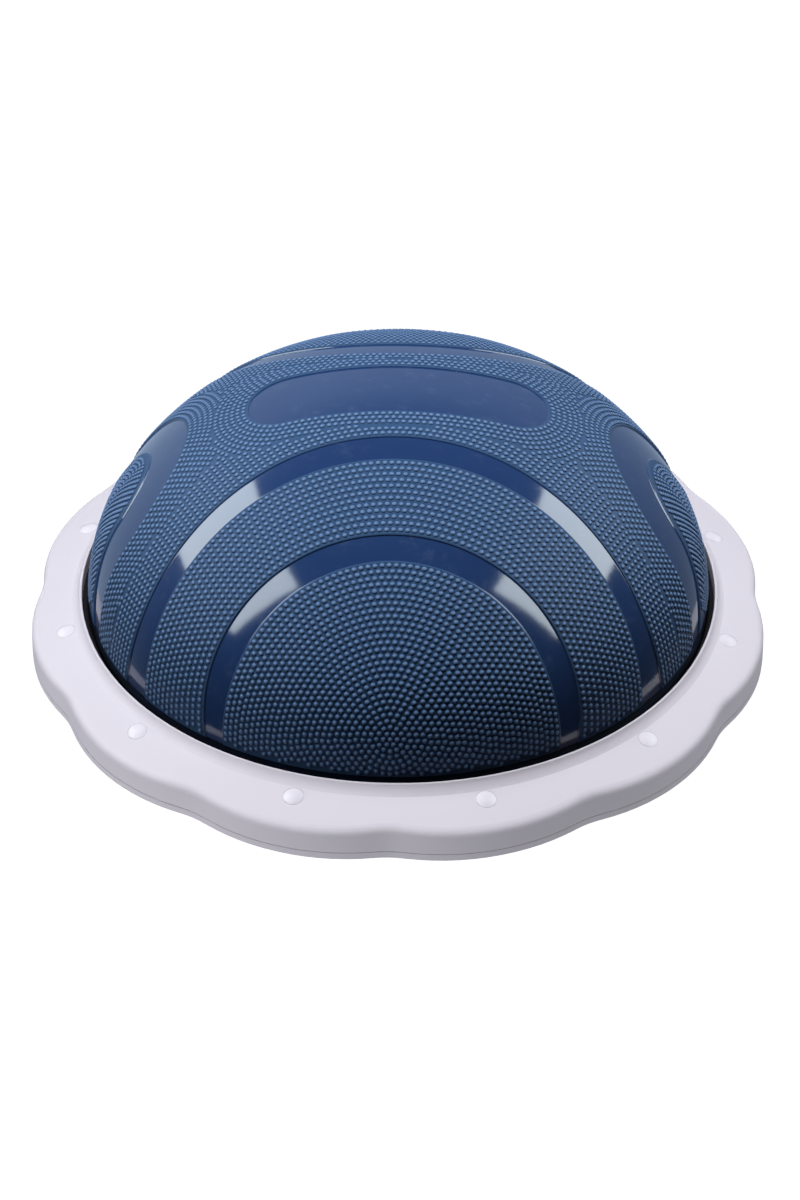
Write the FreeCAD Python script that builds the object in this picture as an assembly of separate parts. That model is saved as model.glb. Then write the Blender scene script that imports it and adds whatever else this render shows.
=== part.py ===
"""Balance dome trainer: an inflated half-dome clamped to a scalloped platform by a screwed rim ring.

Millimetres. +Z is up, the origin is the middle of the underside, and the front is -Y.
"""
import FreeCAD
import Part
import math
import os
from FreeCAD import Vector

# ---- platform outline: lobes and notches in tangent arcs ----
LOBES = 12
OPENING_R = 278.0          # radius of the rim ring's opening
RIM_WIDTH = 47.0           # opening to the crest of a lobe
NOTCH_DEPTH = 7.7          # crest of a lobe to the bottom of a notch
NOTCH_ARC_R = 80.0

# ---- heights of the stack, from the floor up ----
SHEET_T = 2.5
PLATE_T = 6.0
DECK_T = 4.0
SEAM_GAP = 0.5
RIB_SEAT_Z = 17.0
CUSHION_T = 1.5
FLOOR_SKIN_T = 3.0
FLANGE_T = 4.0
LIP_TOP_Z = 46.5

# ---- rim ring ----
RING_WALL = 4.0
LIP_W = 2.4
LIP_H = 8.0
LIP_FACE_W = 6.1
LIP_HOLLOW = (0.38, 0.62)   # hollow of the lip's face: shares of its width and height
LIP_ROUND = 1.1
LAND_SLOPE = 13.0          # degrees below level, outwards
SHOULDER_R = 8.0
WALL_DRAFT = 2.0
FOOT_W = 8.5
FOOT_T = 3.0
CAP_CIRCLE = 17.0          # opening to the circle of screws
BOSS_R = 7.0
BOSS_MEET_Z = 18.0

# ---- screws, washers and caps ----
SCREW_SEAT_Z = 26.0
SHANK_R = 2.45
PILOT_R = 2.5
PASS_R = 2.75
HEAD_R = 4.75
HEAD_H = 2.8
HEAD_ROUND = 1.2
SCREW_TIP_Z = 9.5
SCREW_TIP_TAPER = 0.3      # tip's end radius over the shank's
SLOT_W = 1.2
SLOT_L = 5.5
SLOT_DEPTH = 1.5
WASHER_R = 5.7
WASHER_T = 1.0
COUNTERBORE_R = 6.0
STEM_FIT = 0.05
CAP_R = 8.0
CAP_RECESS = 0.5
CAP_PROUD = 2.0
CAP_CLEAR = 0.25
STEM_GAP = 0.6             # washer-head top to the cap's stem

# ---- dome ----
DOME_GAP = 5.5             # dome to the rim ring's opening
DOME_RISE = 206.8          # dome's widest circle to its crown
DOME_BASE_Z = 33.3         # height of the widest circle
CROWN_TIGHTNESS = 0.968    # crown arc's radius over the ellipse's own
CROWN_ARC_END = 25.0       # degrees from straight up
SHOULDER_ARC_END = 55.0
SKIN_T = 4.0
FLANGE_BLEND = 3.5
GASKET_CLEAR = 0.3
GASKET_TOP = 10.0          # lip's top to the gasket's top
GASKET_H = 6.0
FLANGE_EDGE_GAP = 1.0      # screw bosses to the flange's edge
FLANGE_W = 20.0

# ---- smooth bands sunk in the dome's tread ----
BAND_DEPTH = 1.5
BAND_LOW_Z = 46.5
FRONT_AXIS_TILT = 20.8     # degrees above level, of the axis that the front bands circle
FRONT_AXIS_Z = -24.3       # where that axis crosses the dome's own axis
FRONT_BANDS = ((135.4, 153.8), (205.2, 218.2))
SIDE_OUTER = (-17.65, 146.5, 96.7)      # tilt in degrees, crossing height, radius
SIDE_INNER = (-28.9, 189.5, 83.2)
CROWN_HALF_L = 127.0
CROWN_HALF_W = 35.5
CROWN_DEPTH = 1.2

# ---- valve, at the back of the dome ----
VALVE_ANGLE = 79.0         # degrees from straight up
SEAT_R = 13.0
SEAT_FLANGE_R = 17.0
SEAT_FLANGE_T = 3.0
SEAT_LENGTH = 16.0
HEAD_RECESS = 3.2
PLUG_HEAD_R = 11.0
PLUG_HEAD_T = 2.6
PLUG_HEAD_CLEAR = 0.4
PLUG_R = 4.75
PLUG_CLEAR = 0.05
PLUG_LENGTH = 20.0
PLUG_TIP = 4.0
PLUG_TIP_TAPER = 0.6       # tip's end radius over the plug's
TAB_L = 14.0
TAB_T = 3.0
TAB_H = 2.4

# ---- platform ribs and carrying slots ----
RIB_T = 3.0
RIB_RINGS = (40.0, 115.0, 190.0)
RADIAL_RIBS = 24
RIB_RELIEF = 1.2           # inner ribs end this far below the seat ribs
TONGUE_T = 3.0
TONGUE_H = 4.5
TONGUE_CLEAR = 0.35
SHEET_INSET = 2.5
SLOT_HALF = 50.0
SLOT_FROM_OPENING = 11.0
CARRY_SLOT_W = 17.0

# ---- worked out from the sizes above ----
LOBE_R = OPENING_R + RIM_WIDTH
NOTCH_R = LOBE_R - NOTCH_DEPTH
SCREW_R = OPENING_R + CAP_CIRCLE
PLATE_TOP_Z = SHEET_T + PLATE_T
DECK_TOP_Z = SHEET_T + DECK_T
SKIRT_Z = PLATE_TOP_Z + SEAM_GAP
FLOOR_Z = RIB_SEAT_Z + CUSHION_T
FLANGE_Z = FLOOR_Z + FLOOR_SKIN_T
FOOT_Z = FLANGE_Z + FLANGE_T
FLANGE_R = SCREW_R - BOSS_R - FLANGE_EDGE_GAP
LAND_R = OPENING_R + LIP_W + LIP_FACE_W
LAND_Z = LIP_TOP_Z - LIP_H
DOME_R = OPENING_R - DOME_GAP
BEYOND = 20.0              # how far a cutter runs past what it cuts
FUSE_LAP = 0.5             # how far fused bodies run into each other
SKETCH_TOL = 0.05
UP = Vector(0, 0, 1)
ORIGIN = Vector(0, 0, 0)
PITCH = 360.0 / LOBES


def land_z(radius):
    """Height of the ring's sloping land at a radius."""
    return LAND_Z - (radius - LAND_R) * math.tan(math.radians(LAND_SLOPE))


def polar(radius, degrees, z=0.0):
    """Point at an angle counted from the front (-Y) towards +X."""
    angle = math.radians(degrees)
    return Vector(radius * math.sin(angle), -radius * math.cos(angle), z)


def line(start, end):
    return Part.LineSegment(start, end).toShape()


def arc(start, middle, end):
    return Part.Arc(start, middle, end).toShape()


def section_point(radius, z):
    return Vector(radius, 0, z)


def revolve(edges):
    """Solid of revolution about Z from the edges of a closed section in the XZ plane."""
    face = Part.Face(Part.Wire(edges))
    return face.revolve(ORIGIN, UP, 360)


def revolve_points(points):
    corners = [section_point(r, z) for r, z in points]
    return revolve([line(a, b) for a, b in zip(corners, corners[1:] + corners[:1])])


def tube(inner, outer, low, high):
    return revolve_points([(inner, low), (outer, low), (outer, high), (inner, high)])


def cylinder(radius, low, high, centre=ORIGIN):
    return Part.makeCylinder(radius, high - low, Vector(centre.x, centre.y, low), UP)


def outline(inset, z):
    """Scalloped outline, moved inwards by inset, as one wire of tangent arcs at height z."""
    half_pitch = math.radians(PITCH / 2)
    reach = LOBE_R + NOTCH_ARC_R
    notch_centre = NOTCH_R + NOTCH_ARC_R
    lobe_centre = (reach ** 2 - notch_centre ** 2) / (2 * (reach - notch_centre * math.cos(half_pitch)))
    lobe_r = LOBE_R - lobe_centre - inset
    notch_r = NOTCH_ARC_R + inset
    edges = []
    for index in range(LOBES):
        notch_mid = polar(notch_centre, index * PITCH, z)
        before = polar(lobe_centre, (index - 0.5) * PITCH, z)
        after = polar(lobe_centre, (index + 0.5) * PITCH, z)
        start = notch_mid + (before - notch_mid).normalize() * notch_r
        end = notch_mid + (after - notch_mid).normalize() * notch_r
        edges.append(arc(start, polar(NOTCH_R - inset, index * PITCH, z), end))
        next_notch = polar(notch_centre, (index + 1) * PITCH, z)
        next_start = next_notch + (after - next_notch).normalize() * notch_r
        edges.append(arc(end, polar(lobe_centre + lobe_r, (index + 0.5) * PITCH, z), next_start))
    return Part.Wire(edges)


def scalloped_prism(inset, low, high):
    return Part.Face(outline(inset, low)).extrude(Vector(0, 0, high - low))


def around(shape, count=LOBES, first=0.5):
    """Copies of a shape about Z, the first one turned by `first` pitches from the front."""
    copies = []
    for index in range(count):
        copy = shape.copy()
        copy.rotate(ORIGIN, UP, (index + first) * 360.0 / count)
        copies.append(copy)
    return copies


def ring_body():
    """The ring's outside: lip, sloping land, rounded shoulder and drafted scalloped wall."""
    far = LOBE_R + BEYOND
    lip_in = OPENING_R
    lip_out = OPENING_R + LIP_W
    r = LIP_ROUND
    slant = r * math.sqrt(0.5)
    p = section_point
    hollow = p(lip_out + LIP_FACE_W * LIP_HOLLOW[0], LIP_TOP_Z - LIP_H * LIP_HOLLOW[1])
    edges = [
        line(p(lip_in, SKIRT_Z), p(lip_in, LIP_TOP_Z - r)),
        arc(p(lip_in, LIP_TOP_Z - r), p(lip_in + r - slant, LIP_TOP_Z - r + slant), p(lip_in + r, LIP_TOP_Z)),
        line(p(lip_in + r, LIP_TOP_Z), p(lip_out - r, LIP_TOP_Z)),
        arc(p(lip_out - r, LIP_TOP_Z), p(lip_out - r + slant, LIP_TOP_Z - r + slant), p(lip_out, LIP_TOP_Z - r)),
        arc(p(lip_out, LIP_TOP_Z - r), hollow, p(LAND_R, LAND_Z)),
        line(p(LAND_R, LAND_Z), p(far, land_z(far))),
        line(p(far, land_z(far)), p(far, SKIRT_Z)),
        line(p(far, SKIRT_Z), p(lip_in, SKIRT_Z)),
    ]
    section = revolve(edges)
    envelope = Part.makeLoft([outline(0, SKIRT_Z), outline(WALL_DRAFT, LIP_TOP_Z)], True, True)
    body = section.common(envelope)
    return body.makeFillet(SHOULDER_R, [edge for edge in body.Edges if is_shoulder(edge)])


def is_shoulder(edge):
    """True for an edge where the land meets the scalloped wall."""
    first, last = edge.ParameterRange
    middle = edge.valueAt((first + last) / 2)
    radius = math.hypot(middle.x, middle.y)
    on_land = abs(middle.z - land_z(radius)) < SKETCH_TOL
    return on_land and radius > NOTCH_R - 2 * WALL_DRAFT


def ring_hollow():
    """The space under the ring's land, between the clamp foot's wall and the skirt."""
    inner = OPENING_R + RING_WALL
    far = LOBE_R + BEYOND
    drop = RING_WALL / math.cos(math.radians(LAND_SLOPE))
    points = [
        (inner, SKIRT_Z - 1),
        (far, SKIRT_Z - 1),
        (far, land_z(far) - drop),
        (inner, land_z(inner) - drop),
    ]
    return revolve_points(points).common(scalloped_prism(WALL_DRAFT + RING_WALL, SKIRT_Z - 1, LIP_TOP_Z))


def cap_frame(shape):
    """Tilts a cap shape, made on its own axis at the origin, onto the ring's land."""
    shape.rotate(ORIGIN, Vector(0, 1, 0), LAND_SLOPE)
    shape.translate(section_point(SCREW_R, land_z(SCREW_R)))
    shape.rotate(ORIGIN, UP, -90)
    return shape


def top_ring():
    body = ring_body().cut(ring_hollow())
    inside_foot = cylinder(OPENING_R + RING_WALL + 1, SKIRT_Z - 1, FOOT_Z)
    foot = tube(OPENING_R, OPENING_R + FOOT_W, FOOT_Z, FOOT_Z + FOOT_T)
    body = body.cut(inside_foot).fuse(foot)
    boss_top = land_z(SCREW_R) - RING_WALL / 2
    spot = polar(SCREW_R, 0)
    body = body.fuse(around(cylinder(BOSS_R, BOSS_MEET_Z, boss_top, spot)))
    cutters = around(cylinder(PASS_R, BOSS_MEET_Z - 1, LIP_TOP_Z, spot))
    cutters += around(cylinder(COUNTERBORE_R, SCREW_SEAT_Z, LIP_TOP_Z, spot))
    recess = cap_frame(cylinder(CAP_R + CAP_CLEAR, -CAP_RECESS, BEYOND))
    cutters += around(recess)
    return body.cut(cutters).removeSplitter()


def carry_slots(low, high):
    """Two long rounded slots, left and right, that fingers hook into."""
    mid = OPENING_R + SLOT_FROM_OPENING + CARRY_SLOT_W / 2
    end_r = CARRY_SLOT_W / 2
    straight = SLOT_HALF - end_r
    slots = []
    for side in (-1, 1):
        x = side * mid
        box = Part.makeBox(CARRY_SLOT_W, 2 * straight, high - low, Vector(x - end_r, -straight, low))
        ends = [cylinder(end_r, low, high, Vector(x, y, 0)) for y in (-straight, straight)]
        slots.append(box.fuse(ends))
    return slots


def radial_ribs(inner, outer, top):
    rib = Part.makeBox(RIB_T, outer - inner, top - DECK_TOP_Z, Vector(-RIB_T / 2, inner, DECK_TOP_Z))
    return around(rib, RADIAL_RIBS)


def base_plate():
    plate = scalloped_prism(0, SHEET_T, PLATE_TOP_Z)
    seat_outer = FLANGE_R
    seat_inner = FLANGE_R - FLANGE_W
    plate = plate.cut(cylinder(seat_outer - RIB_T, DECK_TOP_Z, PLATE_TOP_Z + 1))
    rib_top = RIB_SEAT_Z - RIB_RELIEF
    added = [tube(r - RIB_T, r, DECK_TOP_Z, rib_top) for r in RIB_RINGS]
    added += radial_ribs(RIB_RINGS[0] - RIB_T, seat_outer - RIB_T / 2, rib_top)
    added.append(tube(seat_outer - RIB_T, seat_outer, SHEET_T + 1, RIB_SEAT_Z))
    added.append(tube(seat_inner - RIB_T, seat_inner, DECK_TOP_Z, RIB_SEAT_Z))
    spot = polar(SCREW_R, 0)
    added += around(cylinder(BOSS_R, SHEET_T + 1, BOSS_MEET_Z, spot))
    outer_inset = WALL_DRAFT + RING_WALL + TONGUE_CLEAR
    tongue = scalloped_prism(outer_inset, PLATE_TOP_Z - 1, PLATE_TOP_Z + TONGUE_H)
    inside = scalloped_prism(outer_inset + TONGUE_T, PLATE_TOP_Z - 2, PLATE_TOP_Z + TONGUE_H + 1)
    added.append(tongue.cut(inside))
    plate = plate.fuse(added)
    pilots = around(cylinder(PILOT_R, SHEET_T + 2, BOSS_MEET_Z + 1, spot))
    return plate.cut(pilots + carry_slots(0, PLATE_TOP_Z + 1)).removeSplitter()


def non_slip_sheet():
    sheet = scalloped_prism(SHEET_INSET, 0, SHEET_T)
    return sheet.cut(carry_slots(-1, SHEET_T + 1))


def clamp_screw():
    head = cylinder(HEAD_R, 0, HEAD_H)
    head = head.makeFillet(HEAD_ROUND, [edge for edge in head.Edges if edge.BoundBox.ZMin > HEAD_H - 0.01])
    head.translate(Vector(0, 0, SCREW_SEAT_Z + WASHER_T))
    shank = cylinder(SHANK_R, SCREW_TIP_Z + SHANK_R, SCREW_SEAT_Z + WASHER_T + FUSE_LAP)
    tip = Part.makeCone(SHANK_R * SCREW_TIP_TAPER, SHANK_R, SHANK_R, Vector(0, 0, SCREW_TIP_Z), UP)
    screw = head.fuse([shank, tip])
    low = SCREW_SEAT_Z + WASHER_T + HEAD_H - SLOT_DEPTH
    for length, width in ((SLOT_L, SLOT_W), (SLOT_W, SLOT_L)):
        corner = Vector(-length / 2, -width / 2, low)
        screw = screw.cut(Part.makeBox(length, width, SLOT_DEPTH + 1, corner))
    screw.translate(polar(SCREW_R, 0))
    return screw.removeSplitter()


def clamp_screws():
    return Part.makeCompound(around(clamp_screw()))


def screw_washers():
    washer = tube(PASS_R, WASHER_R, SCREW_SEAT_Z, SCREW_SEAT_Z + WASHER_T)
    washer.translate(polar(SCREW_R, 0))
    return Part.makeCompound(around(washer))


def screw_cap():
    """Domed cap that lies on the sloping land, with a stem that plugs the counterbore."""
    sphere_r = (CAP_R ** 2 + CAP_PROUD ** 2) / (2 * CAP_PROUD)
    dome = Part.makeSphere(sphere_r, Vector(0, 0, CAP_PROUD - sphere_r))
    head = cylinder(CAP_R, -CAP_RECESS, CAP_PROUD + 1)
    rounded = dome.common(cylinder(CAP_R, 0, CAP_PROUD + 1))
    head = cap_frame(rounded.fuse(head.common(cylinder(CAP_R, -CAP_RECESS, 0))))
    stem_low = SCREW_SEAT_Z + WASHER_T + HEAD_H + STEM_GAP
    stem = cylinder(COUNTERBORE_R - STEM_FIT, stem_low, land_z(SCREW_R) - CAP_RECESS, polar(SCREW_R, 0))
    under_head = cap_frame(cylinder(CAP_R * 2, -CAP_RECESS, BEYOND))
    return head.fuse(stem.cut(under_head)).removeSplitter()


def slope_vector(angle):
    """Unit vector in the XZ plane at an angle from straight up, towards +X."""
    return Vector(math.sin(angle), 0, math.cos(angle))


def dome_profile():
    """Centre, radius, first and last angle of the three tangent arcs of the dome's half section.

    Crown, shoulder and wall follow an ellipse closely. The ellipse's own radius at the crown is
    DOME_R squared over DOME_RISE, and the crown arc is slightly tighter.
    """
    crown_r = CROWN_TIGHTNESS * DOME_R ** 2 / DOME_RISE
    upper = math.radians(CROWN_ARC_END)
    lower = math.radians(SHOULDER_ARC_END)
    reach = DOME_R - crown_r * math.sin(upper)
    drop = DOME_RISE - crown_r * (1 - math.cos(upper))
    sine_step = math.sin(lower) - math.sin(upper)
    cosine_step = math.cos(upper) - math.cos(lower)
    share = sine_step * math.cos(lower) - (1 - math.sin(lower)) * cosine_step
    shoulder_r = (reach * math.cos(lower) - (1 - math.sin(lower)) * drop) / share
    wall_r = (sine_step * drop - cosine_step * reach) / share
    crown_centre = Vector(0, 0, DOME_BASE_Z + DOME_RISE - crown_r)
    shoulder_centre = crown_centre + slope_vector(upper) * (crown_r - shoulder_r)
    wall_centre = shoulder_centre + slope_vector(lower) * (shoulder_r - wall_r)
    return (
        (crown_centre, crown_r, 0, upper),
        (shoulder_centre, shoulder_r, upper, lower),
        (wall_centre, wall_r, lower, math.pi / 2),
    )


def dome_arcs(inset, low):
    """The half section, moved inwards by inset, from the crown down to height low."""
    edges = []
    for centre, radius, first, last in dome_profile():
        if last == math.pi / 2:
            last += math.asin((DOME_BASE_Z - low) / (radius - inset))
        angles = (first, (first + last) / 2, last)
        points = [centre + slope_vector(angle) * (radius - inset) for angle in angles]
        edges.append(arc(*points))
    return edges, points[-1]


def dome_core(inset):
    """Solid under the dome's outer surface moved inwards by inset, down to its widest circle."""
    edges, end = dome_arcs(inset, DOME_BASE_Z)
    crown = Vector(0, 0, DOME_BASE_Z + DOME_RISE - inset)
    foot = Vector(0, 0, DOME_BASE_Z)
    return revolve(edges + [line(end, foot), line(foot, crown)])


def dome_blank():
    """The moulded skin: ellipsoid shell, blended at its foot into a flat clamping flange."""
    blend = FLANGE_BLEND
    outer, outer_end = dome_arcs(0, FOOT_Z + blend)
    inner, inner_end = dome_arcs(SKIN_T, FLANGE_Z)
    p = section_point
    wall = outer_end.x
    slant = blend * math.sqrt(0.5)
    round_r = FLANGE_T / 2
    edges = outer + [
        arc(outer_end, p(wall + blend - slant, FOOT_Z + blend - slant), p(wall + blend, FOOT_Z)),
        line(p(wall + blend, FOOT_Z), p(FLANGE_R - round_r, FOOT_Z)),
        arc(p(FLANGE_R - round_r, FOOT_Z), p(FLANGE_R, FOOT_Z - round_r), p(FLANGE_R - round_r, FLANGE_Z)),
        line(p(FLANGE_R - round_r, FLANGE_Z), inner_end),
        line(Vector(0, 0, DOME_BASE_Z + DOME_RISE - SKIN_T), Vector(0, 0, DOME_BASE_Z + DOME_RISE)),
    ]
    return revolve(Part.__sortEdges__(edges + inner))


def tilted_cylinder(facing, tilt, crossing_z, radius):
    """Cylinder whose axis leaves the dome's own axis at crossing_z, facing one way and tilted up."""
    angle = math.radians(tilt)
    direction = polar(math.cos(angle), facing, math.sin(angle))
    return Part.makeCylinder(radius, 2 * DOME_R, Vector(0, 0, crossing_z), direction)


def band_cutters():
    """Bodies that sink the smooth bands: two about the front and back, one on each side."""
    core = dome_core(BAND_DEPTH)
    above = Part.makeBox(4 * DOME_R, 4 * DOME_R, 2 * DOME_RISE, Vector(-2 * DOME_R, -2 * DOME_R, BAND_LOW_Z))
    cutters = []
    for facing in (0, 180):
        for inner_r, outer_r in FRONT_BANDS:
            outer = tilted_cylinder(facing, FRONT_AXIS_TILT, FRONT_AXIS_Z, outer_r)
            inner = tilted_cylinder(facing, FRONT_AXIS_TILT, FRONT_AXIS_Z, inner_r)
            cutters.append(outer.cut(inner).common(above).cut(core))
    for facing in (90, -90):
        outer = tilted_cylinder(facing, *SIDE_OUTER)
        inner = tilted_cylinder(facing, *SIDE_INNER)
        cutters.append(outer.cut(inner).common(above).cut(core))
    return cutters


def crown_cutter():
    """The smooth long oval sunk in the middle of the crown."""
    straight = CROWN_HALF_L - CROWN_HALF_W
    low = DOME_BASE_Z + DOME_RISE / 2
    high = DOME_BASE_Z + DOME_RISE + 1
    box = Part.makeBox(2 * straight, 2 * CROWN_HALF_W, high - low, Vector(-straight, -CROWN_HALF_W, low))
    ends = [cylinder(CROWN_HALF_W, low, high, Vector(x, 0, 0)) for x in (-straight, straight)]
    return box.fuse(ends).cut(dome_core(CROWN_DEPTH))


def valve_frame():
    """Point on the dome's outside where the valve sits, and the outward direction there."""
    wall_centre, wall_r, _, _ = dome_profile()[2]
    angle = math.radians(VALVE_ANGLE)
    point = wall_centre + slope_vector(angle) * wall_r
    return Vector(0, point.x, point.z), Vector(0, math.sin(angle), math.cos(angle))


def valve_cylinder(radius, low, high):
    """Cylinder on the valve's axis between two distances outside the dome's surface."""
    centre, normal = valve_frame()
    return Part.makeCylinder(radius, high - low, centre + normal * low, normal)


def dome_bladder():
    blank = dome_blank()
    cutters = band_cutters() + [crown_cutter(), valve_cylinder(SEAT_R, -SEAT_LENGTH, BEYOND)]
    return blank.cut(cutters).removeSplitter()


def bladder_floor():
    return cylinder(FLANGE_R, FLOOR_Z, FLANGE_Z)


def flange_cushion():
    return tube(FLANGE_R - FLANGE_W - RIB_T, FLANGE_R - 1, RIB_SEAT_Z, FLOOR_Z)


def rim_gasket():
    """Rubber ring that fills the gap between the dome and the rim ring, with a rounded top."""
    inner = DOME_R + GASKET_CLEAR
    outer = OPENING_R
    top = LIP_TOP_Z - GASKET_TOP
    low = top - GASKET_H
    bulge = (outer - inner) / 2
    p = section_point
    edges = [
        line(p(inner, low), p(outer, low)),
        line(p(outer, low), p(outer, top - bulge)),
        arc(p(outer, top - bulge), p((inner + outer) / 2, top), p(inner, top - bulge)),
        line(p(inner, top - bulge), p(inner, low)),
    ]
    return revolve(edges)


def valve_seat():
    body = valve_cylinder(SEAT_R, -SEAT_LENGTH, BEYOND).common(dome_core(0))
    flange = valve_cylinder(SEAT_FLANGE_R, -SEAT_LENGTH, SEAT_FLANGE_T - SEAT_LENGTH)
    body = body.fuse(flange)
    recess = valve_cylinder(PLUG_HEAD_R + PLUG_HEAD_CLEAR, -HEAD_RECESS, BEYOND)
    bore = valve_cylinder(PLUG_R + PLUG_CLEAR, -SEAT_LENGTH - 1, BEYOND)
    return body.cut([recess, bore]).removeSplitter()


def valve_plug():
    """Push-in stopper: flat head in the seat's recess, round stem, tapered tip and a pull tab."""
    centre, normal = valve_frame()
    head_low = -HEAD_RECESS
    head = valve_cylinder(PLUG_HEAD_R, head_low, head_low + PLUG_HEAD_T)
    stem = valve_cylinder(PLUG_R, head_low - PLUG_LENGTH + PLUG_TIP, head_low + FUSE_LAP)
    tip_end = centre + normal * (head_low - PLUG_LENGTH)
    tip = Part.makeCone(PLUG_R * PLUG_TIP_TAPER, PLUG_R, PLUG_TIP, tip_end, normal)
    tab = valve_cylinder(TAB_L / 2, head_low + PLUG_HEAD_T - FUSE_LAP, head_low + PLUG_HEAD_T + TAB_H)
    slab = Part.makeBox(TAB_L, TAB_T, 2 * BEYOND, Vector(-TAB_L / 2, -TAB_T / 2, -BEYOND))
    slab.rotate(ORIGIN, Vector(1, 0, 0), -math.degrees(math.atan2(normal.y, normal.z)))
    slab.translate(centre)
    return head.fuse([stem, tip, tab.common(slab)]).removeSplitter()


def save(name, shape):
    shape.exportStep("parts/" + name + ".step")
    box = shape.BoundBox
    print(name, len(shape.Solids), shape.isValid(), round(shape.Volume / 1000, 1), "cm3",
          [round(value, 1) for value in (box.XMin, box.YMin, box.ZMin, box.XMax, box.YMax, box.ZMax)])


def main():
    os.makedirs("parts", exist_ok=True)
    save("base_plate", base_plate())
    save("non_slip_sheet", non_slip_sheet())
    save("flange_cushion", flange_cushion())
    save("bladder_floor", bladder_floor())
    save("dome_bladder", dome_bladder())
    save("valve_seat", valve_seat())
    save("valve_plug", valve_plug())
    save("rim_gasket", rim_gasket())
    save("top_ring", top_ring())
    save("screw_washers", screw_washers())
    save("clamp_screws", clamp_screws())
    for number, cap in enumerate(around(screw_cap()), 1):
        save("screw_cap_%02d" % number, cap)


main()
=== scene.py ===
"""Balance dome trainer, dressed for show.

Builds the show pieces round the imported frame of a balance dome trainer: the moulded skin with its
smooth bands, the studs of its tread, and the finish of every part that stays as the frame has it.
Metres. +Z is up and the front is -Y.
"""
import itertools
import math

import bpy
import numpy as np
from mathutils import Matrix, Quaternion, Vector, kdtree
from mathutils.geometry import delaunay_2d_cdt


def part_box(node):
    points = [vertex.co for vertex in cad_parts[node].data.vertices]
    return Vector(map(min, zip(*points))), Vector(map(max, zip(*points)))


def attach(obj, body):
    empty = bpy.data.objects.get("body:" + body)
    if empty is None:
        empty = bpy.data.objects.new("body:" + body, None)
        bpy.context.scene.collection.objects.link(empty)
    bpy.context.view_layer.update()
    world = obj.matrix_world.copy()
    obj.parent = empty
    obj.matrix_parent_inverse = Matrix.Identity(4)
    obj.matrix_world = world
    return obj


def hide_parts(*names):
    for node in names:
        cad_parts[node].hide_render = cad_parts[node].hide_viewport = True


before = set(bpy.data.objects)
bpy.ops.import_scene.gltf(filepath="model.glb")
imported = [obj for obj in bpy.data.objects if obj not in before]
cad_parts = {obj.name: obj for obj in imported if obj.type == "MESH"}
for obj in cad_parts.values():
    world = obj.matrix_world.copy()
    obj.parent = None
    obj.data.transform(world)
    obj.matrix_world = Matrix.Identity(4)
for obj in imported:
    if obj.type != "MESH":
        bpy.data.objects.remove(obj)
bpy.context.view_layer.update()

bl_info = {
    "name": "Balance Dome Trainer",
    "version": (1, 0, 0),
    "blender": (4, 5, 0),
    "location": "3D View > Sidebar > Trainer",
    "description": "Skin, tread, finishes and stage of a balance dome trainer",
    "category": "Add Mesh",
}

MM = 0.001
GASKET_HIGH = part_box("rim_gasket")[1]
DOME_LOW, DOME_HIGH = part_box("dome_bladder")

# ---- groups of pieces that have lights of their own ----
DOME_PIECES = "dome_pieces"
PLATFORM_PIECES = "platform_pieces"

# ---- form of the dome ----
CROWN_DEPTH = 1.2 * MM
DOME_GAP = 5.5 * MM              # dome to the rim ring's opening
DOME_R = GASKET_HIGH.x - DOME_GAP
DOME_BASE_Z = 33.3 * MM
DOME_RISE = DOME_HIGH.z + CROWN_DEPTH - DOME_BASE_Z
CROWN_TIGHTNESS = 0.968          # crown arc's radius over the ellipse's own
CROWN_ARC_END = math.radians(25)
SHOULDER_ARC_END = math.radians(55)
WALL_ARC_END = math.radians(130)
SKIN_T = 4 * MM
FLANGE_T = 4 * MM
FLANGE_BLEND = 3.5 * MM
FLANGE_R = DOME_HIGH.x
FLANGE_Z = DOME_LOW.z

# ---- curves on the dome at the front and at +X, each where a ball cuts it: (centre, radius) ----
DISC_EDGE = ((0, -185.3 * MM, 45.6 * MM), 144.7 * MM)
INNER_BAND_EDGE = ((0, -219.4 * MM, 63.2 * MM), 151.9 * MM)
CRESCENT_EDGE = ((0, -169.5 * MM, 38.7 * MM), 205.6 * MM)
OUTER_BAND_EDGE = ((0, -134.4 * MM, 19.5 * MM), 225.6 * MM)
SIDE_DISC_EDGE = ((94.6 * MM, 0, 18.5 * MM), 186.0 * MM)
SIDE_BAND_EDGE = ((101.7 * MM, 0, 23.0 * MM), 183.4 * MM)
FRONT_POLE = (0, -265 * MM, 80 * MM)
SIDE_POLE = (266 * MM, 0, 78 * MM)
# each band: (pole, axis across which it is mirrored, outer edge, inner edge)
BANDS = (
    (FRONT_POLE, 1, INNER_BAND_EDGE, DISC_EDGE),
    (FRONT_POLE, 1, OUTER_BAND_EDGE, CRESCENT_EDGE),
    (SIDE_POLE, 0, SIDE_BAND_EDGE, SIDE_DISC_EDGE),
)
CROWN_HALF_L = 127 * MM
CROWN_HALF_W = 35.5 * MM
CROWN_MIDDLE_Y = 2 * MM
CROWN_CORNER_R = 33 * MM
TREAD_LOW_Z = 46.5 * MM
SKIRT_TOP_Z = 42 * MM
VALVE_TILT = math.radians(79)
VALVE_HOLE_R = 13 * MM
VALVE_PATCH_R = 23 * MM

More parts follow.
